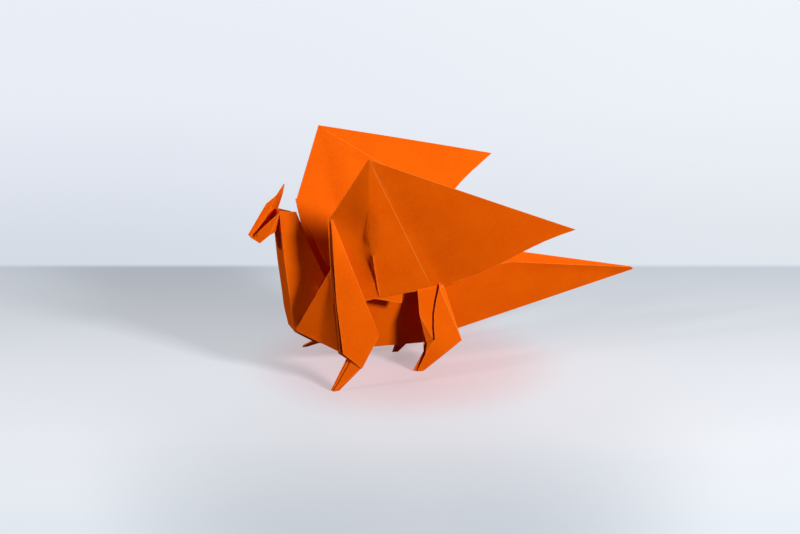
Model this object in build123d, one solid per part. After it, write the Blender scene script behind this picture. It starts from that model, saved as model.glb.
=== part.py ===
from build123d import *
import math
import os
import numpy as np

os.makedirs("parts", exist_ok=True)

# A dragon folded from one square of paper and standing on its feet, all sizes in millimetres.
# Head toward -X, tail toward +X, near side toward -Y, floor at Z = 0.
# "ahead" and "behind" are measured from the middle of the model, "out" from its middle plane.

# Paper, as thick as the layers that lie together
body_thick = 0.30
flap_thick = 0.30
leg_thick = 0.40
head_thick = 0.36
neck_thick = 0.60
miter_reach = 4.0       # longest corner of a fold, in half thicknesses

# Neck: a channel with a narrow flat front, open at the back
neck_half = 4.2
neck_foot_half = 5.4
neck_top_ahead = 86.2
neck_top_height = 82.0
neck_top_depth = 7.4
near_top_slope = 0.6
far_top_slope = 2.4
neck_mid_ahead = 84.6
neck_mid_height = 58.5
neck_low_ahead = 82.8
neck_low_height = 41.0
neck_foot_ahead = 81.2
neck_foot_height = 24.6
nape_mid_ahead = 72.3
nape_mid_out = 6.0
nape_mid_height = 62.7
nape_low_ahead = 67.5
nape_low_out = 8.2
nape_low_height = 50.8

# Keel: the long fold under the body, which runs on into the tail
chest_ahead = 70.0
chest_height = 16.0
belly_front_ahead = 40.0
belly_front_height = 9.5
belly_back_ahead = 12.6
belly_back_height = 8.0
tail_root_behind = 4.2
tail_root_height = 13.1
tail_tip_behind = 102.5
tail_tip_height = 32.0

# Body walls, from the keel up to the fold where the paper turns down again to the wings
wall_top_out = 12.5
wall_top_height = 47.0
wall_front_ahead = 50.0
wall_back_ahead = 8.0
tail_mouth_behind = 27.6
tail_mouth_out = 8.0
tail_mouth_height = 46.8
far_mouth_lift = 2.4
tail_tip_out = 0.7
tail_tip_rise = 1.3

# Wings
near_apex_ahead = 56.0
near_apex_height = 110.5
far_apex_ahead = 54.6
far_apex_height = 111.6
apex_out = 38.0
near_shoulder_ahead = 69.2
near_shoulder_height = 81.8
far_shoulder_ahead = 70.8
far_shoulder_height = 79.9
shoulder_out = 23.2
hem_out = 16.0
hem_front_ahead = 43.5
hem_front_height = 40.3
crease_foot_ahead = 17.5
crease_foot_height = 41.6
hem_back_ahead = 11.4
hem_back_height = 42.0
near_tip_behind = 48.9
near_tip_out = 32.0
near_tip_height = 67.4
far_tip_behind = 43.9
far_tip_out = 50.0
far_tip_height = 87.9
wing_bow = 1.2
near_edge_wave = 1.4
far_edge_rise = 8.2
soft_fold_bow = 2.2
soft_fold_bulge = 0.7
wing_strips = 8
armpit_bow = 3.6
armpit_strips = 6
pocket_ahead = 55.0
pocket_out = 15.0
pocket_height = 38.0

# Lining: the inner layer of the wing, which ends in a slanting edge from the apex
lining_reach = 0.86
lining_drop = 0.46
lining_gap = 1.0
lap_drop_front = 0.9
lap_drop_back = 6.0
lap_out = 15.2
lap_back_ahead = 32.2
lap_lean = 0.6

# Front legs: two layers folded at the back edge, open at the front
ankle_ahead = 56.8
knee_back = 8.4         # behind the ankle
knee_out = 27.0
knee_height = 26.2
ankle_out = 27.0
ankle_height = 11.2
shin_front = 7.9        # ahead of the ankle
shin_out = 25.6
shin_height = 18.9
leg_gap = 2.8
leg_step = 1.4
leg_top_gap = 1.4
leg_bow = 0.9
far_leg_in = 12.0
far_leg_back = 5.0
foot_top_front = 5.0    # ahead of the ankle
foot_top_in = 1.8
foot_top_height = 16.2
foot_tuck = 5.0
foot_gap = 2.0
foot_step = 1.6
foot_width = 2.2
near_foot_front = 12.8  # ahead of the ankle
near_foot_out = 23.3
far_foot_front = 13.4   # ahead of the ankle
far_foot_out = 22.8
far_foot_lift = 4.8

# Chest pleat: the triangle between the foot of the neck and the front leg
pleat_peak_share = 0.58
pleat_tuck_ahead = 60.0
pleat_tuck_height = 21.0

# Hind legs: a front flap tucked under a rear flap, with an inner layer folded at the back
thigh_front_ahead = 24.7
thigh_out = 16.5
thigh_top_height = 40.6
thigh_mid_ahead = 24.1
thigh_mid_out = 17.5
thigh_mid_height = 29.4
shank_front_ahead = 19.9
shank_front_out = 17.0
shank_out = 18.0
shank_height = 14.2
heel_front_ahead = 20.9
heel_front_height = 9.3
hock_ahead = 2.2
hock_out = 17.0
hock_height = 13.4
thigh_back_ahead = 11.6
sole_fold_ahead = 11.5
sole_fold_height = 8.4
slit_foot_ahead = 16.5
slit_foot_height = 16.3
slit_top_ahead = 14.4
slit_bow = 1.5
slit_step = 0.9
slit_tuck = 2.5
slit_strips = 4
hind_depth = 4.5
tuck_depth = 1.8
flap_under = 1.0
near_hind_ahead = 25.6
near_hind_out = 15.9
far_hind_ahead = 27.3
far_hind_out = 10.2
far_hind_lift = 0.59
hind_tip_width = 2.2
heel_show = 0.3         # the inner layer, ahead of the outer one
foot_show = 1.0

# Head: a fold along the top, with a narrow near side and a far side that hangs down to the
# jaw, so that the mouth is an open hollow from the near side
snout_ahead = 99.7
snout_height = 72.1
brow_ahead = 91.3
brow_height = 85.0
crown_ahead = 86.6
crown_height = 88.4
horn_ahead = 82.7
horn_height = 93.7
lip_ahead = 98.8
lip_out = 1.4
lip_height = 70.8
lid_ahead = 92.9
lid_out = 2.6
lid_height = 79.3
fold_ahead = 87.8
fold_out = 2.2
fold_height = 87.4
spur_ahead = 84.7
spur_out = 0.9
spur_height = 90.6
horn_back_ahead = 83.4
horn_back_out = 0.8
horn_back_height = 89.1
cheek_ahead = 85.0
cheek_out = 4.3
cheek_height = 81.4

# Jaw: open at the top, its sides ending at the front corners of the neck
jaw_tip_ahead = 98.9
jaw_tip_height = 70.5
jaw_half = 1.3
chin_ahead = 95.4
chin_height = 67.9
jaw_low_ahead = 91.2
jaw_low_out = 2.8
jaw_low_height = 71.4
jaw_root_ahead = 85.7
jaw_root_height = 72.8
jaw_end_out = 0.1       # past the side of the neck


def meeting_shift(normals, half):
    # the miter: one shift that stands half a sheet off every panel that meets at a corner
    rows = []
    for n in normals:
        if all(np.dot(n, m) < 0.99999 for m in rows):
            rows.append(n)
    shift = np.linalg.lstsq(np.array(rows), np.full(len(rows), half), rcond=0.001)[0]
    # a sharp fold is pressed flat, so its corner stays short
    return shift * min(1.0, miter_reach * half / np.linalg.norm(shift))


def facing(pts):
    n = np.zeros(3)
    for p, q in zip(pts, pts[1:] + pts[:1]):
        n += np.cross(p - pts[0], q - pts[0])
    return n / np.linalg.norm(n)


def folded(points, panels, thick, thicker=(), more=0.0):
    # flat panels that share their corners, given the paper's thickness and mitered at the folds;
    # at the corners named in thicker, where more layers meet, the sheet is as thick as more
    pts = {k: np.array(v, float) for k, v in points.items()}
    tris = []
    for panel in panels:
        for b, c in zip(panel[1:], panel[2:]):
            tris.append((panel[0], b, c))
    normals = {}
    for tri in tris:
        n = facing([pts[k] for k in tri])
        for k in tri:
            normals.setdefault(k, []).append(n)
    above = {}
    below = {}
    for k, ns in normals.items():
        shift = meeting_shift(ns, (more if k in thicker else thick) / 2)
        above[k] = Vector(*(pts[k] + shift))
        below[k] = Vector(*(pts[k] - shift))
    edges = {e for a, b, c in tris for e in ((a, b), (b, c), (c, a))}
    corners = []
    for a, b, c in tris:
        corners.append((above[a], above[b], above[c]))
        corners.append((below[c], below[b], below[a]))
    for a, b in sorted(edges):
        if (b, a) not in edges:
            corners.append((above[b], above[a], below[a]))
            corners.append((above[b], below[a], below[b]))
    return Solid(Shell([Face(Wire.make_polygon(c, close=True)) for c in corners]))


def between(p, q, f):
    return tuple(a + (b - a) * f for a, b in zip(p, q))


def bowed(p, q, f, bow):
    # a point on the line from p to q, pushed aside by the bow at its middle
    side = math.sin(math.pi * f)
    return tuple(a + (b - a) * f + w * side for a, b, w in zip(p, q, bow))


def wing_points(s):
    # apex, shoulder and tip of one wing; the two wings are not held quite alike
    if s < 0:
        apex = (-near_apex_ahead, s * apex_out, near_apex_height)
        shoulder = (-near_shoulder_ahead, s * shoulder_out, near_shoulder_height)
        return apex, shoulder, (near_tip_behind, s * near_tip_out, near_tip_height)
    apex = (-far_apex_ahead, s * apex_out, far_apex_height)
    shoulder = (-far_shoulder_ahead, s * shoulder_out, far_shoulder_height)
    return apex, shoulder, (far_tip_behind, s * far_tip_out, far_tip_height)


def wing_corners(s):
    # one wing: a fan of panels from the apex, and a bowed blade that ends in the tip
    apex, shoulder, tip = wing_points(s)
    front = (-hem_front_ahead, s * hem_out, hem_front_height)
    crease = (-crease_foot_ahead, s * hem_out, crease_foot_height)
    back = (-hem_back_ahead, s * hem_out, hem_back_height)
    pts = {"apex": apex, "front": front, "crease": crease, "back": back, "tip": tip}
    pts["pocket"] = (-pocket_ahead, s * pocket_out, pocket_height)
    for i in range(wing_strips):
        f = i / wing_strips
        if i > 0:
            pts["top%d" % i] = bowed(apex, tip, f, (0, s * wing_bow, 0))
            rise = far_edge_rise * math.sin(math.pi * f)
            if s < 0:
                rise = -near_edge_wave * math.sin(2 * math.pi * f)
            low = bowed(back, tip, f, (0, s * wing_bow, 0))
            pts["low%d" % i] = (low[0], low[1] + s * rise * 0.3, low[2] + rise)
    for i in (1, 2):
        bow = (-soft_fold_bow, s * soft_fold_bulge, 0)
        pts["soft%d" % i] = bowed(apex, front, i / 3, bow)
    for i in range(armpit_strips):
        f = i / armpit_strips
        pts["armpit%d" % i] = bowed(shoulder, front, f, (armpit_bow, 0, armpit_bow * 0.8))
    return pts


def wing_panels():
    panels = [("crease", "apex", "soft1", "soft2", "front"), ("crease", "back", "apex")]
    panels.append(("back", "low1", "top1", "apex"))
    for i in range(1, wing_strips - 1):
        panels.append(("low%d" % i, "low%d" % (i + 1), "top%d" % (i + 1), "top%d" % i))
    last = wing_strips - 1
    panels.append(("low%d" % last, "tip", "top%d" % last))
    names = ["armpit%d" % i for i in range(armpit_strips)] + ["front"]
    for i, (a, b) in enumerate(zip(names, names[1:])):
        if i == 0:
            panels.append(("apex", a, b))
        elif i < armpit_strips // 2:
            panels.append(("soft1", a, b))
        else:
            panels.append(("soft2", a, b))
        panels.append(("pocket", b, a))
    panels.append(("apex", names[1], "soft1"))
    panels.append(("soft1", names[armpit_strips // 2], "soft2"))
    return panels


def body():
    # neck, keel, walls, tail and both wings: one strip of paper from wing tip to wing tip
    pts = {
        "chest": (-chest_ahead, 0, chest_height),
        "belly_f": (-belly_front_ahead, 0, belly_front_height),
        "belly_b": (-belly_back_ahead, 0, belly_back_height),
        "root": (tail_root_behind, 0, tail_root_height),
        "tail": (tail_tip_behind, 0, tail_tip_height),
    }
    panels = []
    for s, tag in ((-1, "n"), (1, "f")):
        mouth_height = tail_mouth_height + (far_mouth_lift if s > 0 else 0)
        top_end = neck_top_height - (far_top_slope if s > 0 else near_top_slope)
        own = {
            "r0": (-neck_top_ahead, s * neck_half, neck_top_height),
            "r1": (-neck_mid_ahead, s * neck_half, neck_mid_height),
            "r2": (-neck_low_ahead, s * neck_half, neck_low_height),
            "r3": (-neck_foot_ahead, s * neck_foot_half, neck_foot_height),
            "b0": (-neck_top_ahead + neck_top_depth, s * neck_half, top_end),
            "b1": (-nape_mid_ahead, s * nape_mid_out, nape_mid_height),
            "b2": (-nape_low_ahead, s * nape_low_out, nape_low_height),
            "w1": (-wall_front_ahead, s * wall_top_out, wall_top_height),
            "w2": (-wall_back_ahead, s * wall_top_out, wall_top_height),
            "mouth": (tail_mouth_behind, s * tail_mouth_out, mouth_height),
            "end": (tail_tip_behind - 0.8, s * tail_tip_out, tail_tip_height + tail_tip_rise),
        }
        own.update(wing_corners(s))
        pts.update({k + tag: v for k, v in own.items()})
        side = [
            ("r0", "r1", "b1", "b0"),
            ("r1", "r2", "b2", "b1"),
            ("r2", "r3", "b2"),
            ("r3", "chest", "b2"),
            ("chest", "w1", "b2"),
            ("chest", "belly_f", "w1"),
            ("belly_f", "belly_b", "w2", "w1"),
            ("belly_b", "root", "w2"),
            ("root", "mouth", "w2"),
            ("root", "tail", "mouth"),
            ("tail", "end", "mouth"),
            ("w1", "w2", "back"),
            ("w1", "back", "crease"),
            ("w1", "crease", "front"),
        ]
        side += wing_panels()
        shared = ("chest", "belly_f", "belly_b", "root", "tail")
        for panel in side:
            named = [k if k in shared else k + tag for k in panel]
            panels.append(tuple(named if s < 0 else reversed(named)))
    for a, b in (("r0", "r1"), ("r1", "r2"), ("r2", "r3")):
        panels.append((a + "f", b + "f", b + "n", a + "n"))
    panels.append(("r3f", "chest", "r3n"))
    neck = [k + tag for k in ("r0", "r1", "r2", "r3", "b0", "b1", "b2") for tag in ("n", "f")]
    return folded(pts, panels, body_thick, neck + ["chest"], neck_thick)


def lining(s):
    # the inner layer of a wing: fixed along the crease, its free edge standing off a little
    apex, shoulder, tip = wing_points(s)
    back = (-hem_back_ahead, s * hem_out, hem_back_height)
    edge = between(between(apex, tip, lining_reach), back, lining_drop)
    foot = between(back, apex, 0.03)
    pts = {
        "apex": (apex[0] + 0.3, apex[1] - s * 0.1, apex[2] - 0.6),
        "foot": (foot[0], foot[1] - s * 0.2, foot[2]),
        "edge": (edge[0], edge[1] - s * lining_gap, edge[2]),
    }
    return folded(pts, [("apex", "foot", "edge")], flap_thick)


def hem_lap(s):
    # the next layer, showing as a slanting band below the wing's lower edge
    top = hem_front_height + 2.5
    pts = {
        "a": (-hem_front_ahead - 0.6, s * lap_out, top),
        "b": (-lap_back_ahead + lap_lean, s * lap_out, top),
        "c": (-lap_back_ahead, s * lap_out, hem_front_height - lap_drop_back + 1.3),
        "d": (-hem_front_ahead - 1.9, s * lap_out, hem_front_height - lap_drop_front),
    }
    return folded(pts, [("a", "b", "c", "d")], flap_thick)


def leg_points(s):
    # knee, ankle and shin corner of a front leg; the far leg is folded in under the body
    if s < 0:
        knee = (-ankle_ahead + knee_back, s * knee_out, knee_height)
        ankle = (-ankle_ahead, s * ankle_out, ankle_height)
        return knee, ankle, (-ankle_ahead - shin_front, s * shin_out, shin_height)
    at = -ankle_ahead + far_leg_back
    knee = (at + knee_back, s * (knee_out - far_leg_in), knee_height)
    ankle = (at, s * (ankle_out - far_leg_in), ankle_height)
    return knee, ankle, (at - shin_front, s * (shin_out - far_leg_in), shin_height)


def leg_corners(s):
    knee, ankle, shin = leg_points(s)
    shoulder = wing_points(s)[1]
    top = (shoulder[0] + 0.8, shoulder[1] + s * 0.3, shoulder[2] + 0.4)
    pts = {
        "top": top,
        "knee": knee,
        "ankle": ankle,
        "outer_top": (top[0] - 0.2, top[1] + s * leg_top_gap / 2, top[2] - 2.6),
        "outer_low": shin,
        "inner_top": (top[0] - leg_top_gap, top[1] - s * leg_top_gap / 2, top[2]),
        "inner_low": (shin[0] - leg_step, shin[1] - s * leg_gap, shin[2] - 0.7),
    }
    ahead = (-leg_bow, 0, 0)
    pts["outer_mid"] = bowed(pts["outer_top"], pts["outer_low"], 0.6, ahead)
    pts["inner_mid"] = bowed(pts["inner_top"], pts["inner_low"], 0.6, ahead)
    return pts


def front_leg(s):
    pts = leg_corners(s)
    outer = ("knee", "top", "outer_top", "outer_mid", "outer_low", "ankle")
    inner = ("knee", "ankle", "inner_low", "inner_mid", "inner_top", "top")
    return folded(pts, [outer, inner], leg_thick)


def chest_pleat(s):
    # a triangle facing forward, from the foot of the neck to the leg, and a floor panel
    # that turns in under the body
    leg = leg_corners(s)
    peak = between(leg["inner_top"], leg["inner_mid"], pleat_peak_share)
    pts = {
        "neck": (-neck_foot_ahead + 0.3, s * (neck_foot_half - 0.6), neck_foot_height + 0.4),
        "peak": (peak[0] + 0.7, peak[1] + s * 0.6, peak[2]),
        "corner": (leg["inner_low"][0] + 1.0, leg["inner_low"][1] + s * 1.0, shin_height),
        "tuck": (-pleat_tuck_ahead, s * 1.2, pleat_tuck_height),
    }
    return folded(pts, [("neck", "peak", "corner"), ("neck", "corner", "tuck")], flap_thick)


def front_foot(s, tip_ahead, tip_out, lift):
    # a narrow fold that comes out of the leg: closed at the back, its layers showing in front
    ankle = leg_points(s)[1]
    drop = (foot_top_front, foot_top_in, foot_top_height - ankle_height)
    up = (ankle[0] + foot_tuck * 0.5, ankle[1] - s * 1.3, ankle[2] + foot_tuck)
    heel = (ankle[0] + 0.4, ankle[1] - s * 0.3, ankle[2] + 0.3)
    top = (ankle[0] - drop[0], ankle[1] - s * drop[1], ankle[2] + drop[2])
    tip = (-tip_ahead, s * tip_out, lift)
    pts = {
        "up": up,
        "heel": heel,
        "tip": (tip[0] + foot_width, tip[1] + s * 0.2, tip[2] - 0.3),
        "outer_tip": (tip[0] + 0.4, tip[1] + s * 0.4, tip[2] - 0.2),
        "outer_top": (top[0] + foot_step, top[1], top[2] - foot_step * 0.6),
        "inner_tip": (tip[0] - 0.4, tip[1] - s * foot_gap * 0.4, tip[2] + 0.2),
        "inner_top": (top[0], top[1] - s * foot_gap, top[2]),
        "mid_tip": (tip[0] + 0.3, tip[1] - s * foot_gap * 0.15, tip[2] + 0.7),
        "mid_top": (top[0] + foot_step * 0.5, top[1] - s * foot_gap * 0.55, top[2]),
    }
    outer = ("heel", "up", "outer_top", "outer_tip", "tip")
    inner = ("heel", "tip", "inner_tip", "inner_top", "up")
    wall = folded({k: pts[k] for k in outer + inner}, [outer, inner], leg_thick)
    layer = {
        "up": between(between(up, heel, 0.3), top, 0.2),
        "low": between(pts["tip"], pts["mid_tip"], 0.5),
        "tip": pts["mid_tip"],
        "top": pts["mid_top"],
    }
    return [wall, folded(layer, [("up", "low", "tip", "top")], flap_thick)]


def hind_leg(s, tip_ahead, tip_out, lift):
    # a front flap whose edge is tucked under the rear flap, and a foot folded at the back
    top = thigh_top_height + 5.0
    back = (-thigh_back_ahead, s * (hem_out + 0.6), thigh_top_height + 0.9)
    slit_top = (-slit_top_ahead, s * (thigh_out + 0.6), thigh_top_height + 1.6)
    slit_foot = (-slit_foot_ahead, s * (shank_out + 0.4), slit_foot_height)
    thigh = (-thigh_front_ahead, s * thigh_out, thigh_top_height)
    thigh_mid = (-thigh_mid_ahead, s * thigh_mid_out, thigh_mid_height)
    shank = (-shank_front_ahead, s * shank_front_out, shank_height)
    tip = (-tip_ahead, s * tip_out, lift - 0.3)
    rear = {
        "back": back,
        "back_top": (back[0] - 2.4, s * (hem_out - tuck_depth), top + 1.0),
        "hock": (-hock_ahead, s * hock_out, hock_height),
        "sole": (-sole_fold_ahead, s * shank_out, sole_fold_height),
        "tip_back": (tip[0] + foot_show + hind_tip_width, tip[1] + s * 0.4, tip[2]),
        "tip": (tip[0] + foot_show, tip[1], tip[2] + 0.5),
        "heel": (-heel_front_ahead, s * (shank_out - 0.5), heel_front_height),
        "shank": shank,
        "in_tip": (tip[0] - 0.6, tip[1] - s * 1.2, tip[2] + 0.6),
        "in_heel": (-heel_front_ahead - heel_show, s * (shank_out - 2.2), heel_front_height + 0.6),
        "in_top": (-thigh_front_ahead + 4.0, s * (hem_out - hind_depth), thigh_top_height - 3),
        "in_back": (back[0], s * (hem_out - 2.0), thigh_top_height - 1),
        "slit_end": slit_foot,
    }
    front = {
        "thigh": thigh,
        "thigh_top": (thigh[0], s * (hem_out - tuck_depth), top),
        "thigh_mid": thigh_mid,
        "low": (slit_foot[0], slit_foot[1] - s * flap_under, slit_foot[2] - 1.0),
        "shank": (shank[0] + 0.3, shank[1] - s * flap_under, shank[2] - 1.0),
    }
    rear_edge = []
    front_edge = []
    for i in range(slit_strips):
        f = i / slit_strips
        p = bowed(slit_top, slit_foot, f, (-slit_bow, 0, 0))
        rear["slit%d" % i] = (p[0], p[1] + s * slit_step * (1 - f), p[2])
        under = flap_under * f + 0.5 * (1 - f)
        front["under%d" % i] = (p[0] + slit_tuck * (1 - f), p[1] - s * under, p[2])
        rear_edge.append("slit%d" % i)
        front_edge.append("under%d" % i)
    rear_panels = [
        tuple(["hock", "back"] + rear_edge + ["slit_end", "sole"]),
        ("back", "back_top", "slit0"),
        ("slit_end", "shank", "heel", "tip", "tip_back", "sole"),
        ("hock", "sole", "tip_back", "in_heel", "in_top", "in_back"),
        ("tip_back", "in_tip", "in_heel"),
        ("hock", "in_back", "back"),
    ]
    front_panels = [
        tuple(["thigh_mid", "low"] + front_edge[::-1] + ["thigh"]),
        ("thigh_mid", "shank", "low"),
        ("thigh", "under0", "thigh_top"),
    ]
    return [folded(rear, rear_panels, leg_thick), folded(front, front_panels, leg_thick)]


def head():
    pts = {
        "snout": (-snout_ahead, 0, snout_height),
        "brow": (-brow_ahead, 0, brow_height),
        "crown": (-crown_ahead, 0, crown_height),
        "horn": (-horn_ahead, 0, horn_height),
        "lip": (-lip_ahead, -lip_out, lip_height),
        "lid": (-lid_ahead, -lid_out, lid_height),
        "fold": (-fold_ahead, -fold_out, fold_height),
        "spur": (-spur_ahead, -spur_out, spur_height),
        "far_lip": (-lip_ahead, lip_out + 0.2, lip_height - 0.7),
        "cheek": (-cheek_ahead, cheek_out, cheek_height),
        "horn_back": (-horn_back_ahead, horn_back_out, horn_back_height),
    }
    near = [
        ("lid", "brow", "snout", "lip"),
        ("lid", "fold", "crown", "brow"),
        ("spur", "horn", "crown", "fold"),
    ]
    far = [
        ("cheek", "far_lip", "snout", "brow"),
        ("cheek", "brow", "crown"),
        ("crown", "horn_back", "cheek"),
        ("crown", "horn", "horn_back"),
    ]
    return folded(pts, near + far, head_thick)


def jaw():
    pts = {"root": (-jaw_root_ahead, 0, jaw_root_height)}
    panels = [("tipn", "tipf", "chinf", "chinn"), ("chinn", "chinf", "lowf", "lown")]
    panels.append(("lown", "lowf", "root"))
    for s, tag in ((-1, "n"), (1, "f")):
        own = {
            "tip": (-jaw_tip_ahead, s * jaw_half, jaw_tip_height),
            "chin": (-chin_ahead, s * (jaw_half + 0.3), chin_height),
            "low": (-jaw_low_ahead, s * jaw_low_out, jaw_low_height),
            "top": (-neck_top_ahead, s * (neck_half + jaw_end_out), neck_top_height),
        }
        pts.update({k + tag: v for k, v in own.items()})
        side = ("tip" + tag, "chin" + tag, "low" + tag, "top" + tag)
        back = ("low" + tag, "root", "top" + tag)
        panels += [side, back] if s < 0 else [side[::-1], back[::-1]]
    return folded(pts, panels, head_thick)


# The feet are cut flat where they stand on the floor
floor_side = 4 * tail_tip_behind
floor = Box(floor_side, floor_side, snout_height, align=(Align.CENTER, Align.CENTER, Align.MAX))
feet = front_foot(-1, ankle_ahead + near_foot_front, near_foot_out, 0.0)
feet += front_foot(1, ankle_ahead + far_foot_front, far_foot_out, far_foot_lift)
feet += hind_leg(-1, near_hind_ahead, near_hind_out, 0.0)
feet += hind_leg(1, far_hind_ahead, far_hind_out, far_hind_lift)
pieces = [head(), jaw()]
for s in (-1, 1):
    pieces += [lining(s), hem_lap(s), chest_pleat(s), front_leg(s)]
pieces += [foot.cut(floor) for foot in feet]

# All of it is one sheet of paper, so it is one solid
sheet = body()
for piece in pieces:
    sheet = sheet.fuse(piece)

# The middle of the model's outline is brought over the origin
box = sheet.bounding_box()
middle = ((box.min.X + box.max.X) / 2, (box.min.Y + box.max.Y) / 2)
sheet = sheet.moved(Location((-middle[0], -middle[1], -box.min.Z)))
sheet.label = "folded_sheet"
export_step(sheet, "parts/folded_sheet.step")
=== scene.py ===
import heapq
import itertools
import math

import bmesh
import bpy
import numpy as np
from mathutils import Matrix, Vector
from mathutils.kdtree import KDTree


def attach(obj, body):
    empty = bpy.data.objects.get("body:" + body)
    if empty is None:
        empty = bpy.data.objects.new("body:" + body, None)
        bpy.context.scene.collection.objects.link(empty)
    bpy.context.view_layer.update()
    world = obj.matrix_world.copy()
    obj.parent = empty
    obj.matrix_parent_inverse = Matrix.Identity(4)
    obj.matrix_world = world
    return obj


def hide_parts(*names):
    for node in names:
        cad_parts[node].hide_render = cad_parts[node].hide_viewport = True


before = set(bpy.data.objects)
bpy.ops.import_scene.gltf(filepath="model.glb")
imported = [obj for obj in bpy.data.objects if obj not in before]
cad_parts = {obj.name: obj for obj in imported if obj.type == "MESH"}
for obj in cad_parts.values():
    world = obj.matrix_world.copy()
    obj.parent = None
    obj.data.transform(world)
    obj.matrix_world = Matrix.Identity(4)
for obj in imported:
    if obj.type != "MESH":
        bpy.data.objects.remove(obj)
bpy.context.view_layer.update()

MM = 0.001

# Viewpoint, in metres: the photograph is taken from in front of the near wing
EYE = (-0.20945, -0.47699, 0.2120)
HEADING = math.radians(21.0)
PITCH = math.radians(18.0)
LENS = 50.0
SENSOR = 36.0

# Table: it ends in a soft line a little behind the dragon; part of its colour glows by itself for the
# camera, painted light that lifts its shadows, and its lit part is darkened
TABLE_END = 0.656
LINE_SOFTNESS = 0.006
TABLE_SIZE = 6.0
TABLE_BELOW = 0.02 * MM
TABLE_GLOW = 0.65
TABLE_SHADE = 0.53

# Lamps: the height on the dragon that they all face
LIT_HEIGHT = 0.045

# Painted orange bounce light on the table: its middle, ahead and to the right of the viewpoint, and how
# far it reaches
BOUNCE_AHEAD = 0.505
BOUNCE_SIDE = 0.003
BOUNCE_DEPTH = 0.075
BOUNCE_WIDTH = 0.085

# The dragon's own middle on the table, and corners of it measured from there, in millimetres
ORIGIN = (-1.45, -5.99, 0.0)
NEAR_APEX = (-56.0, -38.0, 110.5)
NEAR_HINGE = (-11.4, -16.0, 42.0)
NEAR_CREASE_FOOT = (-17.5, -16.0, 41.6)
SHOULDER = (-69.2, -23.2, 81.8)
WING_FRONT = (-43.5, -16.0, 40.3)
HEAD_LIP = (-98.8, -1.4, 70.8)
HEAD_FOLD = (-87.8, -2.2, 87.4)
PLEAT_FOOT = (-80.9, -4.8, 25.0)
PLEAT_PEAK = (-68.3, -23.4, 59.9)
PLEAT_CORNER = (-65.1, -23.8, 18.9)
FAR_APEX = (-54.6, 38.0, 111.6)
FAR_TIP = (43.9, 50.0, 87.9)
FAR_BACK = (-11.4, 16.0, 42.0)
FAR_RISE = 8.2

# How the finished sheet departs from dead flat panels, in millimetres; each pair of values is
# where a change starts and where it is whole.
# Near wing: how far each millimetre behind its soft fold turns outward
WING_TURN = 0.125
WING_OUT = (11, 14)
WING_ABOVE = (42, 46)

# Bend under the near shoulder: its bow, how far it fills out and the paper round it that goes along
ARMPIT_BOW = 3.6
ARMPIT_REACH = 10.9
ARMPIT_END = 0.85
ARMPIT_LEAST = 1.0
ARMPIT_AHEAD = 8
ARMPIT_PUFF = 2.6
ARMPIT_ROUND = 0.7
ARMPIT_OUT = (12.5, 14.5)
ARMPIT_WITHIN = (-23.6, -22.4)

# Paper ahead of that bend, which runs in behind the leg
POCKET_LEAN = 0.324
POCKET_TUCK = 4.0
POCKET_PAST = (1, 7)
POCKET_AHEAD = (-2, -0.3)
POCKET_ABOVE = (37, 42)
POCKET_BELOW = (-82, -76)

# Chest pleat: how far it turns, how wide it is at its foot and which paper belongs to it
PLEAT_TURN = 0.60
PLEAT_REACH = 9.0
PLEAT_NEAR = (-1.0, -0.5)
PLEAT_ABOVE = (12, 14)
PLEAT_WITHIN = (-26, -24)
PLEAT_BEHIND = (-0.9, -0.2)

# Near side of the head: how far each millimetre out from its middle turns to the front
HEAD_TURN = 1.5
HEAD_MIDDLE = 0.2
HEAD_MOST = 4
HEAD_OVER_LINE = (-1.5, -0.8)
HORN_ABOVE = (84, 87)
HEAD_AHEAD = (81, 82)
HEAD_ABOVE = (70, 71)
HEAD_WITHIN = (-3.7, -3.2)

# Far front edge of the neck: how far it leads
NECK_LEAD = 1.15
NECK_FAR = (-3.0, 3.6)
NECK_AHEAD = (77, 82)
NECK_ABOVE = (22, 36)
NECK_BELOW = (-82, -76)
NECK_BEHIND_HEAD = (-89, -87)

# Far wing: how far its trailing edge comes down between its middle and its tip
FAR_DROP = 1.3
FAR_MIDDLE = 0.5
FAR_OUT = (18, 22)

# Folds: which ones are pressed, which stay soft, and the lighter line along the pressed ones, partly wear
# and partly painted highlight
JOIN_GAP = 0.004 * MM
SLIVER = 0.002 * MM
PAPER_LAYER = 0.30 * MM
FOLD_ANGLE = math.radians(24.0)
SMOOTH_ANGLE = math.radians(18.0)
FLAT_ANGLE = math.radians(1.0)
BEND_ANGLE = math.radians(3.0)
HEAD_BEHIND = -85.5 * MM
SOFT_ANGLE = math.radians(62.0)
SOFT_OUT = 15.0 * MM
SOFT_LOW = 43.0 * MM
SOFT_AHEAD = 71.0 * MM
SOFT_BEHIND = 40.0 * MM
SOFT_REACH = 7.0 * MM
SOFT_ROUNDS = 30
SOFT_SHARE = 0.8
CREASE_SHORTEST = 5.0 * MM
CREASE_WIDTH = 1.0
WEAR_AND_HIGHLIGHT_WIDTH = 0.26
NO_FOLD = 50.0
FACET = 1.9 * MM


# Helpers for shaders
def new_material(name):
    material = bpy.data.materials.new(name)
    material.use_nodes = True
    tree = material.node_tree
    tree.nodes.clear()
    return material, tree


def add(tree, kind, settings=None, **inputs):
    node = tree.nodes.new(kind)
    for key, value in (settings or {}).items():
        setattr(node, key, value)
    for key, value in inputs.items():
        socket = node.inputs[key.replace("_", " ")] if isinstance(key, str) else node.inputs[key]
        if isinstance(value, bpy.types.NodeSocket):
            tree.links.new(value, socket)
        else:
            socket.default_value = value
    return node


def math_node(tree, operation, a, b=None, c=None):
    node = tree.nodes.new("ShaderNodeMath")
    node.operation = operation
    for i, value in enumerate((a, b, c)):
        if value is None:
            continue
        if isinstance(value, bpy.types.NodeSocket):
            tree.links.new(value, node.inputs[i])
        else:
            node.inputs[i].default_value = value
    return node.outputs[0]


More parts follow.
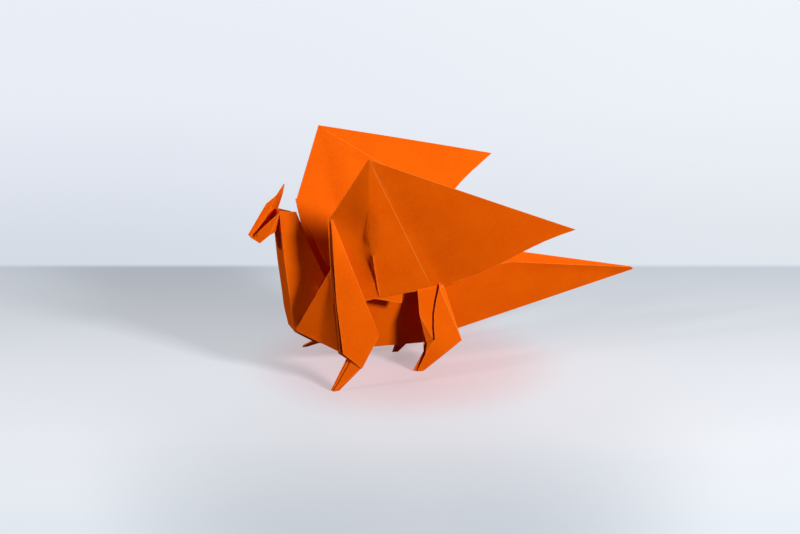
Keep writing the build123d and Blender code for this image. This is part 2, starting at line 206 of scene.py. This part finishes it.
def mix_colour(tree, factor, a, b, blend="MIX"):
    node = tree.nodes.new("ShaderNodeMix")
    node.data_type = "RGBA"
    node.blend_type = blend
    for socket, value in ((node.inputs[0], factor), (node.inputs[6], a), (node.inputs[7], b)):
        if isinstance(value, bpy.types.NodeSocket):
            tree.links.new(value, socket)
        else:
            socket.default_value = value
    return node.outputs[2]


def smooth_step(tree, value, low, high, to_low=0.0, to_high=1.0):
    node = tree.nodes.new("ShaderNodeMapRange")
    node.interpolation_type = "SMOOTHSTEP"
    tree.links.new(value, node.inputs[0])
    for i, number in enumerate((low, high, to_low, to_high)):
        if isinstance(number, bpy.types.NodeSocket):
            tree.links.new(number, node.inputs[i + 1])
        else:
            node.inputs[i + 1].default_value = number
    return node.outputs[0]


def ramp(tree, value, stops):
    node = tree.nodes.new("ShaderNodeValToRGB")
    node.color_ramp.elements[0].position = stops[0][0]
    node.color_ramp.elements[0].color = (*stops[0][1], 1)
    node.color_ramp.elements[1].position = stops[-1][0]
    node.color_ramp.elements[1].color = (*stops[-1][1], 1)
    for place, colour in stops[1:-1]:
        stop = node.color_ramp.elements.new(place)
        stop.color = (*colour, 1)
    tree.links.new(value, node.inputs[0])
    return node.outputs[0]


def plain_colour(red, green, blue):
    # a colour named as it looks on a screen, from 0 to 255, as the shader's own linear values
    def linear(v):
        v = v / 255
        return v / 12.92 if v <= 0.04045 else ((v + 0.055) / 1.055) ** 2.4
    return (linear(red), linear(green), linear(blue))


# The paper's material
def orange_paper():
    material, tree = new_material("orange_paper")
    place = add(tree, "ShaderNodeTexCoord").outputs["Object"]
    cloudy = add(tree, "ShaderNodeTexNoise", Vector=place, Scale=55.0, Detail=3.0, Roughness=0.55)
    pulp = add(tree, "ShaderNodeTexNoise", Vector=place, Scale=900.0, Detail=4.0, Roughness=0.7)
    fleck = add(tree, "ShaderNodeTexVoronoi", {"feature": "DISTANCE_TO_EDGE"}, Vector=place, Scale=1700.0)
    fibres = add(tree, "ShaderNodeTexNoise", Vector=place, Scale=3200.0, Detail=2.0, Roughness=0.6)

    deep = (0.86, 0.114, 0.0003, 1)
    body = (0.91, 0.135, 0.0004, 1)
    light = (0.94, 0.158, 0.0006, 1)
    colour = mix_colour(tree, smooth_step(tree, cloudy.outputs["Fac"], 0.30, 0.72), deep, body)
    mottle = smooth_step(tree, pulp.outputs["Fac"], 0.40, 0.68, 0.0, 0.55)
    colour = mix_colour(tree, mottle, colour, light)

    # lighter line along the pressed folds: partly worn paper, partly a painted highlight where a fold's
    # rounded edge catches the light
    near = add(tree, "ShaderNodeAttribute", {"attribute_name": "to_fold"}).outputs["Vector"]
    parts = add(tree, "ShaderNodeSeparateXYZ", Vector=near)
    closest = math_node(tree, "MINIMUM", parts.outputs[0], parts.outputs[1])
    closest = math_node(tree, "MINIMUM", closest, parts.outputs[2])
    wander = math_node(tree, "MULTIPLY_ADD", pulp.outputs["Fac"], 0.30, -0.10)
    edge = math_node(tree, "SUBTRACT", closest, wander)
    wear_and_highlight = smooth_step(tree, edge, 0.02, WEAR_AND_HIGHLIGHT_WIDTH, 1.0, 0.0)
    wear_and_highlight = math_node(tree, "MULTIPLY", wear_and_highlight, 0.75)
    wear_and_highlight_colour = (1.0, 0.26, 0.030, 1)
    colour = mix_colour(tree, wear_and_highlight, colour, wear_and_highlight_colour)

    height = math_node(tree, "MULTIPLY", fibres.outputs["Fac"], 0.5)
    height = math_node(tree, "ADD", height, math_node(tree, "MULTIPLY", pulp.outputs["Fac"], 1.4))
    height = math_node(tree, "ADD", height, math_node(tree, "MULTIPLY", fleck.outputs["Distance"], 0.3))
    bump = add(tree, "ShaderNodeBump", Strength=0.14, Distance=0.00004, Height=height)

    surface = add(
        tree, "ShaderNodeBsdfPrincipled",
        Base_Color=colour, Roughness=0.72, Normal=bump.outputs["Normal"],
    )
    surface.inputs["Specular IOR Level"].default_value = 0.03
    through = add(
        tree, "ShaderNodeBsdfTranslucent",
        Color=(0.80, 0.035, 0.0006, 1), Normal=bump.outputs["Normal"],
    )
    both = add(tree, "ShaderNodeMixShader", Fac=0.12)
    tree.links.new(surface.outputs[0], both.inputs[1])
    tree.links.new(through.outputs[0], both.inputs[2])
    out = add(tree, "ShaderNodeOutputMaterial")
    tree.links.new(both.outputs[0], out.inputs["Surface"])
    return material


# The folded sheet
def joined_copy(node):
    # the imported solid's own shape, its loose triangles joined
    form = bmesh.new()
    form.from_mesh(node.data)
    bmesh.ops.remove_doubles(form, verts=form.verts, dist=JOIN_GAP)
    bmesh.ops.dissolve_degenerate(form, edges=form.edges, dist=SLIVER)
    bmesh.ops.triangulate(form, faces=form.faces)
    return form


def mid(edge):
    return (edge.verts[0].co + edge.verts[1].co) / 2


def is_soft(edge):
    # the wings bend softly here, so the paper has no pressed line
    place = mid(edge)
    if edge.calc_length() < PAPER_LAYER * 2:
        return False
    if edge.calc_face_angle(math.pi) > SOFT_ANGLE:
        return False
    if abs(place.y - ORIGIN[1] * MM) < SOFT_OUT or place.z < SOFT_LOW:
        return False
    return -SOFT_AHEAD < place.x < -SOFT_BEHIND


def off_line(point, start, end):
    # distance in millimetres from the line between two named corners
    start = (Vector(start) + Vector(ORIGIN)) * MM
    end = (Vector(end) + Vector(ORIGIN)) * MM
    way = (end - start).normalized()
    return (point - start).cross(way).length / MM


def is_wing_crease(edge):
    # the raised crease of the near wing, from its apex to its lower edge
    if edge.calc_length() < CREASE_SHORTEST:
        return False
    return max(off_line(v.co, NEAR_APEX, NEAR_CREASE_FOOT) for v in edge.verts) < CREASE_WIDTH


def mark_folds(form):
    # distance from each corner to the folds and cut edges of its own triangle, in millimetres
    layer = form.loops.layers.float_vector.new("to_fold")
    for edge in form.edges:
        angle = edge.calc_face_angle(math.pi)
        in_head = mid(edge).x < HEAD_BEHIND
        edge.smooth = angle < (FLAT_ANGLE if in_head else SMOOTH_ANGLE) or is_soft(edge)
        edge.seam = not edge.smooth and angle > FOLD_ANGLE and edge.is_convex
        if is_wing_crease(edge):
            edge.seam = True
    for face in form.faces:
        face.smooth = True
        loops = list(face.loops)
        area = face.calc_area() * 2
        for i, loop in enumerate(loops):
            values = []
            for j in range(3):
                edge = loops[j].edge
                if not edge.seam:
                    values.append(NO_FOLD)
                elif i == (j + 2) % 3:
                    values.append(area / max(edge.calc_length(), 1e-9) / MM)
                else:
                    values.append(0.0)
            loop[layer] = Vector(values)


def refine(form, longest):
    # each edge longer than this is halved, the longest first, so that the bends can be rounded
    order = itertools.count()
    waiting = []

    def wait(edge):
        if edge.calc_length() > longest:
            heapq.heappush(waiting, (-edge.calc_length(), next(order), edge))

    for edge in form.edges:
        wait(edge)
    while waiting:
        edge = heapq.heappop(waiting)[2]
        ends = set(edge.verts)
        half, middle = bmesh.utils.edge_split(edge, edge.verts[0], 0.5)
        wait(edge)
        wait(half)
        for face in list(middle.link_faces):
            across = next(v for v in face.verts if v not in ends and v is not middle)
            wait(bmesh.utils.face_split(face, middle, across)[1].edge)


def smooth_ramp(value, low, high):
    part = np.clip((value - low) / (high - low), 0, 1)
    return part * part * (3 - 2 * part)


def wing_turn(own, eye):
    # the near wing turns outward behind its soft fold
    apex = np.array(NEAR_APEX)
    hinge = np.cross(np.array(NEAR_HINGE) - apex, apex - eye)
    behind = (own - apex) @ (hinge / np.linalg.norm(hinge))
    wing = smooth_ramp(-own[:, 1], *WING_OUT) * smooth_ramp(own[:, 2], *WING_ABOVE)
    return WING_TURN * np.clip(behind, 0, None) * wing


def armpit(own):
    # the bend under the near shoulder stands out, and the paper ahead of it runs in behind the leg
    x, y, z = own.T
    fall = np.clip((SHOULDER[2] - z) / (SHOULDER[2] - WING_FRONT[2]), 0, 1)
    bow = ARMPIT_BOW * np.sin(np.pi * fall)
    past = x - (SHOULDER[0] + (WING_FRONT[0] - SHOULDER[0]) * fall + bow)
    near = smooth_ramp(-y, *ARMPIT_OUT) * np.where(past < 0, smooth_ramp(y, *ARMPIT_WITHIN), 1)
    room = np.clip(ARMPIT_REACH * (1 - fall / ARMPIT_END), ARMPIT_LEAST, None)
    share = np.clip(np.where(past > 0, 1 - past / room, 1 + past / ARMPIT_AHEAD), 0, 1)
    puff = ARMPIT_PUFF * np.sin(np.pi * fall) ** ARMPIT_ROUND * share * near
    ahead = x - (SHOULDER[0] + POCKET_LEAN * (SHOULDER[2] - z))
    tuck = smooth_ramp(-past, *POCKET_PAST) * smooth_ramp(ahead, *POCKET_AHEAD) * near
    tuck *= smooth_ramp(z, *POCKET_ABOVE) * smooth_ramp(-z, *POCKET_BELOW)
    return puff, POCKET_TUCK * tuck


def pleat_turn(own):
    # the near chest pleat faces forward: its edge at the neck's foot stands out
    x, y, z = own.T
    foot, peak, corner = np.array(PLEAT_FOOT), np.array(PLEAT_PEAK), np.array(PLEAT_CORNER)
    face = np.cross(peak - foot, corner - foot)
    off = np.abs((own - foot) @ (face / np.linalg.norm(face)))
    rise = np.clip((z - foot[2]) / (peak[2] - foot[2]), 0, 1)
    side = x - (foot[0] + (peak[0] - foot[0]) * rise)
    reach = PLEAT_REACH * (1 - rise)
    pleat = smooth_ramp(-off, *PLEAT_NEAR) * smooth_ramp(side, *PLEAT_BEHIND)
    pleat *= smooth_ramp(z, *PLEAT_ABOVE) * smooth_ramp(y, *PLEAT_WITHIN)
    return PLEAT_TURN * (np.clip(side, 0, reach) - reach) * pleat


def head_turn(own):
    # the near side of the head, above the line from its lip to its fold, turns toward the front
    x, y, z = own.T
    rise = (HEAD_FOLD[2] - HEAD_LIP[2]) / (HEAD_FOLD[0] - HEAD_LIP[0])
    above = z - (HEAD_LIP[2] + (x - HEAD_LIP[0]) * rise)
    head = np.maximum(smooth_ramp(above, *HEAD_OVER_LINE), smooth_ramp(z, *HORN_ABOVE))
    head *= smooth_ramp(-x, *HEAD_AHEAD) * smooth_ramp(z, *HEAD_ABOVE) * smooth_ramp(y, *HEAD_WITHIN)
    return HEAD_TURN * np.clip(-y - HEAD_MIDDLE, 0, HEAD_MOST) * head


def neck_lead(own):
    # the far front edge of the neck leads a little
    x, y, z = own.T
    neck = smooth_ramp(y, *NECK_FAR) * smooth_ramp(-x, *NECK_AHEAD) * smooth_ramp(x, *NECK_BEHIND_HEAD)
    return NECK_LEAD * neck * smooth_ramp(z, *NECK_ABOVE) * smooth_ramp(-z, *NECK_BELOW)


def far_wing_drop(own):
    # the far wing's trailing edge runs straight to the tip
    x, y, z = own.T
    along = np.clip((x - FAR_BACK[0]) / (FAR_TIP[0] - FAR_BACK[0]), FAR_MIDDLE, 1)
    top = FAR_APEX[2] + (FAR_TIP[2] - FAR_APEX[2]) * (x - FAR_APEX[0]) / (FAR_TIP[0] - FAR_APEX[0])
    low = FAR_BACK[2] + (FAR_TIP[2] - FAR_BACK[2]) * along + FAR_RISE * np.sin(np.pi * along)
    share = np.clip((top - z) / np.maximum(top - low, 0.1), 0, 1) * smooth_ramp(y, *FAR_OUT)
    return FAR_DROP * np.sin(2 * np.pi * (along - FAR_MIDDLE)) * share


def flexed(place):
    # how the held paper gives; what is turned or filled out keeps its outline as photographed,
    # because its points move along their own line of sight from the viewpoint
    own = place / MM - np.array(ORIGIN)
    eye = np.array(EYE) / MM - np.array(ORIGIN)
    sight = own - eye
    sight /= np.linalg.norm(sight, axis=1)[:, None]
    puff, tuck = armpit(own)
    deeper = wing_turn(own, eye) - puff + pleat_turn(own) + head_turn(own)
    moved = own + sight * deeper[:, None]
    moved[:, 0] -= tuck + neck_lead(own)
    moved[:, 2] -= far_wing_drop(own)
    return (moved + np.array(ORIGIN)) * MM


def soften(mesh):
    # the soft bends shade evenly: normals are averaged round them, never across a pressed fold
    count = len(mesh.vertices)
    ends = np.empty(len(mesh.edges) * 2, np.int32)
    mesh.edges.foreach_get("vertices", ends)
    ends = ends.reshape(-1, 2)
    sharp = np.zeros(len(mesh.edges), bool)
    mesh.attributes["sharp_edge"].data.foreach_get("value", sharp)
    pressed = np.zeros(count, bool)
    pressed[ends[sharp].ravel()] = True
    near_soft = np.empty(count, np.float32)
    mesh.attributes["soft"].data.foreach_get("value", near_soft)
    corner = np.empty(len(mesh.loops) * 3, np.float32)
    mesh.corner_normals.foreach_get("vector", corner)
    corner = corner.reshape(-1, 3)
    at = np.empty(len(mesh.loops), np.int32)
    mesh.loops.foreach_get("vertex_index", at)
    normal = np.zeros((count, 3))
    normal[at] = corner
    free = ends[~pressed[ends[:, 0]] & ~pressed[ends[:, 1]]]
    degree = np.bincount(free.ravel(), minlength=count)
    weight = np.where(degree > 0, smooth_ramp(near_soft, 0.0, 1.0) * SOFT_SHARE, 0)
    for _ in range(SOFT_ROUNDS):
        total = np.zeros_like(normal)
        for k in range(3):
            total[:, k] = np.bincount(free[:, 0], normal[free[:, 1], k], count)
            total[:, k] += np.bincount(free[:, 1], normal[free[:, 0], k], count)
        mean = total / np.maximum(degree, 1)[:, None]
        normal += (mean - normal) * weight[:, None]
        normal /= np.maximum(np.linalg.norm(normal, axis=1), 1e-9)[:, None]
    changed = (weight > 0)[at]
    corner[changed] = normal[at[changed]]
    mesh.normals_split_custom_set(corner.tolist())


def measure_softness(form):
    # kept at each corner: 1 at a soft bend, falling to 0 at the reach
    soft = form.verts.layers.float.new("soft")
    bends = {v for e in form.edges if e.smooth and e.calc_face_angle(0.0) > BEND_ANGLE for v in e.verts}
    tree = KDTree(len(bends))
    for i, vert in enumerate(bends):
        tree.insert(vert.co, i)
    tree.balance()
    for v in form.verts:
        v[soft] = max(0.0, 1 - tree.find(v.co)[2] / SOFT_REACH)


def make_dragon():
    form = joined_copy(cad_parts["folded_sheet"])
    mark_folds(form)
    refine(form, FACET)
    measure_softness(form)
    mesh = bpy.data.meshes.new("dragon_paper")
    form.to_mesh(mesh)
    form.free()
    place = np.empty(len(mesh.vertices) * 3)
    mesh.vertices.foreach_get("co", place)
    mesh.vertices.foreach_set("co", flexed(place.reshape(-1, 3)).ravel())
    mesh.update()
    soften(mesh)
    piece = bpy.data.objects.new("dragon_paper", mesh)
    bpy.context.scene.collection.objects.link(piece)
    mesh.materials.append(orange_paper())
    print("dragon_paper triangles", len(mesh.polygons))
    return piece


# Table, light and camera
def sees_background(tree):
    # 1 for what the camera, a reflection or a clear part sees directly
    path = add(tree, "ShaderNodeLightPath")
    seen = math_node(tree, "MAXIMUM", path.outputs["Is Camera Ray"], path.outputs["Is Glossy Ray"])
    return math_node(tree, "MAXIMUM", seen, path.outputs["Is Transmission Ray"])


def make_table():
    form = bmesh.new()
    half = TABLE_SIZE / 2
    corners = [form.verts.new((x, y, -TABLE_BELOW)) for x, y in
               ((-half, -half), (half, -half), (half, half), (-half, half))]
    form.faces.new(corners)
    mesh = bpy.data.meshes.new("table")
    form.to_mesh(mesh)
    form.free()
    table = bpy.data.objects.new("table", mesh)
    bpy.context.scene.collection.objects.link(table)

    material, tree = new_material("pale_table")
    place = add(tree, "ShaderNodeTexCoord").outputs["Object"]
    turned = add(
        tree, "ShaderNodeMapping", {"vector_type": "POINT"}, Vector=place,
        Rotation=(0, 0, HEADING),
    )
    axes = add(tree, "ShaderNodeSeparateXYZ", Vector=turned.outputs[0])
    eye_ahead = EYE[0] * math.sin(HEADING) + EYE[1] * math.cos(HEADING)
    ahead = math_node(tree, "SUBTRACT", axes.outputs[1], eye_ahead)
    eye_side = EYE[0] * math.cos(HEADING) - EYE[1] * math.sin(HEADING)
    side = math_node(tree, "SUBTRACT", axes.outputs[0], eye_side)
    across = math_node(tree, "DIVIDE", side, ahead)
    slope = math_node(tree, "DIVIDE", EYE[2], ahead)
    seen = sees_background(tree)

    # painted shade: the table is a little darker toward its far end, and between the two lamps, where
    # less lamp light falls
    table_top = ramp(tree, slope, [
        (0.326, plain_colour(192, 199, 208)),
        (0.358, plain_colour(202, 207, 215)),
        (0.390, plain_colour(212, 217, 224)),
        (0.430, plain_colour(222, 226, 233)),
        (0.506, plain_colour(231, 235, 241)),
        (0.573, plain_colour(228, 234, 241)),
        (0.606, plain_colour(224, 231, 239)),
    ])
    # painted shade between the two lamps
    middle = math_node(tree, "MULTIPLY", across, across)
    middle = smooth_step(tree, middle, 0.0, 0.12, 1.0, 0.0)
    middle = math_node(tree, "MULTIPLY", middle, smooth_step(tree, slope, 0.40, 0.60, 0.0, 0.30))
    table_top = mix_colour(tree, middle, table_top, (0.10, 0.14, 0.20, 1))

    # painted bounce light: the colour the orange paper throws on the table under it is painted into the
    # table
    aside = math_node(tree, "DIVIDE", math_node(tree, "SUBTRACT", side, BOUNCE_SIDE), BOUNCE_WIDTH)
    away = math_node(tree, "DIVIDE", math_node(tree, "SUBTRACT", ahead, BOUNCE_AHEAD), BOUNCE_DEPTH)
    away = math_node(tree, "MULTIPLY", away, away)
    spread = math_node(tree, "MULTIPLY_ADD", aside, aside, away)
    painted_bounce_light = smooth_step(tree, spread, 0.0, 1.0, 0.42, 0.0)
    table_top = mix_colour(tree, painted_bounce_light, table_top, (0.66, 0.27, 0.27, 1))

    soft = add(tree, "ShaderNodeTexNoise", Vector=place, Scale=9.0, Detail=2.0)
    cloudy = smooth_step(tree, soft.outputs["Fac"], 0.3, 0.7, 0.0, 0.05)
    table_top = mix_colour(tree, cloudy, table_top, (1, 1, 1, 1))
    shaded = mix_colour(tree, TABLE_SHADE, table_top, (0, 0, 0, 1))
    # light that bounces off the table onto the paper is painted dark and reddish
    lit = mix_colour(tree, seen, (0.08, 0.02, 0.01, 1), shaded)
    satin = add(tree, "ShaderNodeBsdfPrincipled", Base_Color=lit, Roughness=0.6)
    satin.inputs["Specular IOR Level"].default_value = 0.05
    # the camera sees part of the table's colour glowing by itself: painted light that lifts the shadows
    # on the table
    tree.links.new(table_top, satin.inputs["Emission Color"])
    tree.links.new(math_node(tree, "MULTIPLY", seen, TABLE_GLOW), satin.inputs["Emission Strength"])

    wall = ramp(tree, slope, [
        (0.00, plain_colour(236, 241, 249)),
        (0.17, plain_colour(231, 236, 245)),
        (0.24, plain_colour(223, 228, 238)),
        (0.30, plain_colour(214, 220, 230)),
        (0.325, plain_colour(213, 219, 229)),
    ])
    brighter = smooth_step(tree, across, -0.30, 0.36, 0.0, 0.30)
    wall = mix_colour(tree, brighter, wall, (0.95, 0.98, 1.0, 1))
    glow = add(tree, "ShaderNodeEmission", Color=wall, Strength=1.0)
    plain = add(tree, "ShaderNodeBsdfDiffuse", Color=(0.12, 0.12, 0.12, 1))
    back = add(tree, "ShaderNodeMixShader", Fac=seen)
    tree.links.new(plain.outputs[0], back.inputs[1])
    tree.links.new(glow.outputs[0], back.inputs[2])

    beyond = smooth_step(tree, ahead, TABLE_END - LINE_SOFTNESS, TABLE_END + LINE_SOFTNESS * 0.6)
    whole = add(tree, "ShaderNodeMixShader", Fac=beyond)
    tree.links.new(satin.outputs[0], whole.inputs[1])
    tree.links.new(back.outputs[0], whole.inputs[2])
    out = add(tree, "ShaderNodeOutputMaterial")
    tree.links.new(whole.outputs[0], out.inputs["Surface"])
    mesh.materials.append(material)


def soft_lamp(name, toward, distance, size, power):
    # a square soft box that faces the dragon; "toward" is right of, in front of and above it,
    # as the camera sees it
    right = Vector((math.cos(HEADING), -math.sin(HEADING), 0))
    front = Vector((-math.sin(HEADING), -math.cos(HEADING), 0))
    way = (right * toward[0] + front * toward[1] + Vector((0, 0, toward[2]))).normalized()
    data = bpy.data.lights.new(name, "AREA")
    data.shape = "SQUARE"
    data.size = size
    data.energy = power
    lamp = bpy.data.objects.new(name, data)
    target = Vector((0.0, ORIGIN[1] * MM, LIT_HEIGHT))
    lamp.location = target + way * distance
    lamp.rotation_euler = (-way).to_track_quat("-Z", "Y").to_euler()
    bpy.context.scene.collection.objects.link(lamp)


def make_light():
    soft_lamp("key_softbox", toward=(0.69, 0.56, 0.43), distance=1.7, size=0.30, power=35.0)
    soft_lamp("small_left_lamp", toward=(-0.92, 0.38, 0.40), distance=1.5, size=0.12, power=7.0)
    soft_lamp("rear_panel", toward=(0.20, -0.90, 0.35), distance=1.8, size=1.2, power=5.0)
    world = bpy.data.worlds.new("studio")
    bpy.context.scene.world = world
    world.use_nodes = True
    tree = world.node_tree
    tree.nodes.clear()
    seen = add(tree, "ShaderNodeBackground", Color=(*plain_colour(236, 241, 249), 1), Strength=1.0)
    room = add(tree, "ShaderNodeBackground", Color=(1.0, 0.45, 0.35, 1), Strength=0.02)
    both = add(tree, "ShaderNodeMixShader", Fac=sees_background(tree))
    tree.links.new(room.outputs[0], both.inputs[1])
    tree.links.new(seen.outputs[0], both.inputs[2])
    out = add(tree, "ShaderNodeOutputWorld")
    tree.links.new(both.outputs[0], out.inputs["Surface"])


def make_camera():
    data = bpy.data.cameras.new("camera")
    data.lens = LENS
    data.sensor_width = SENSOR
    data.clip_start = 0.01
    data.clip_end = 50.0
    camera = bpy.data.objects.new("camera", data)
    camera.location = EYE
    camera.rotation_euler = (math.pi / 2 - PITCH, 0, -HEADING)
    bpy.context.scene.collection.objects.link(camera)
    bpy.context.scene.camera = camera


bpy.context.scene.view_settings.view_transform = "Standard"
make_camera()
make_light()
make_table()

dragon = make_dragon()
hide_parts("folded_sheet")
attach(dragon, "root")
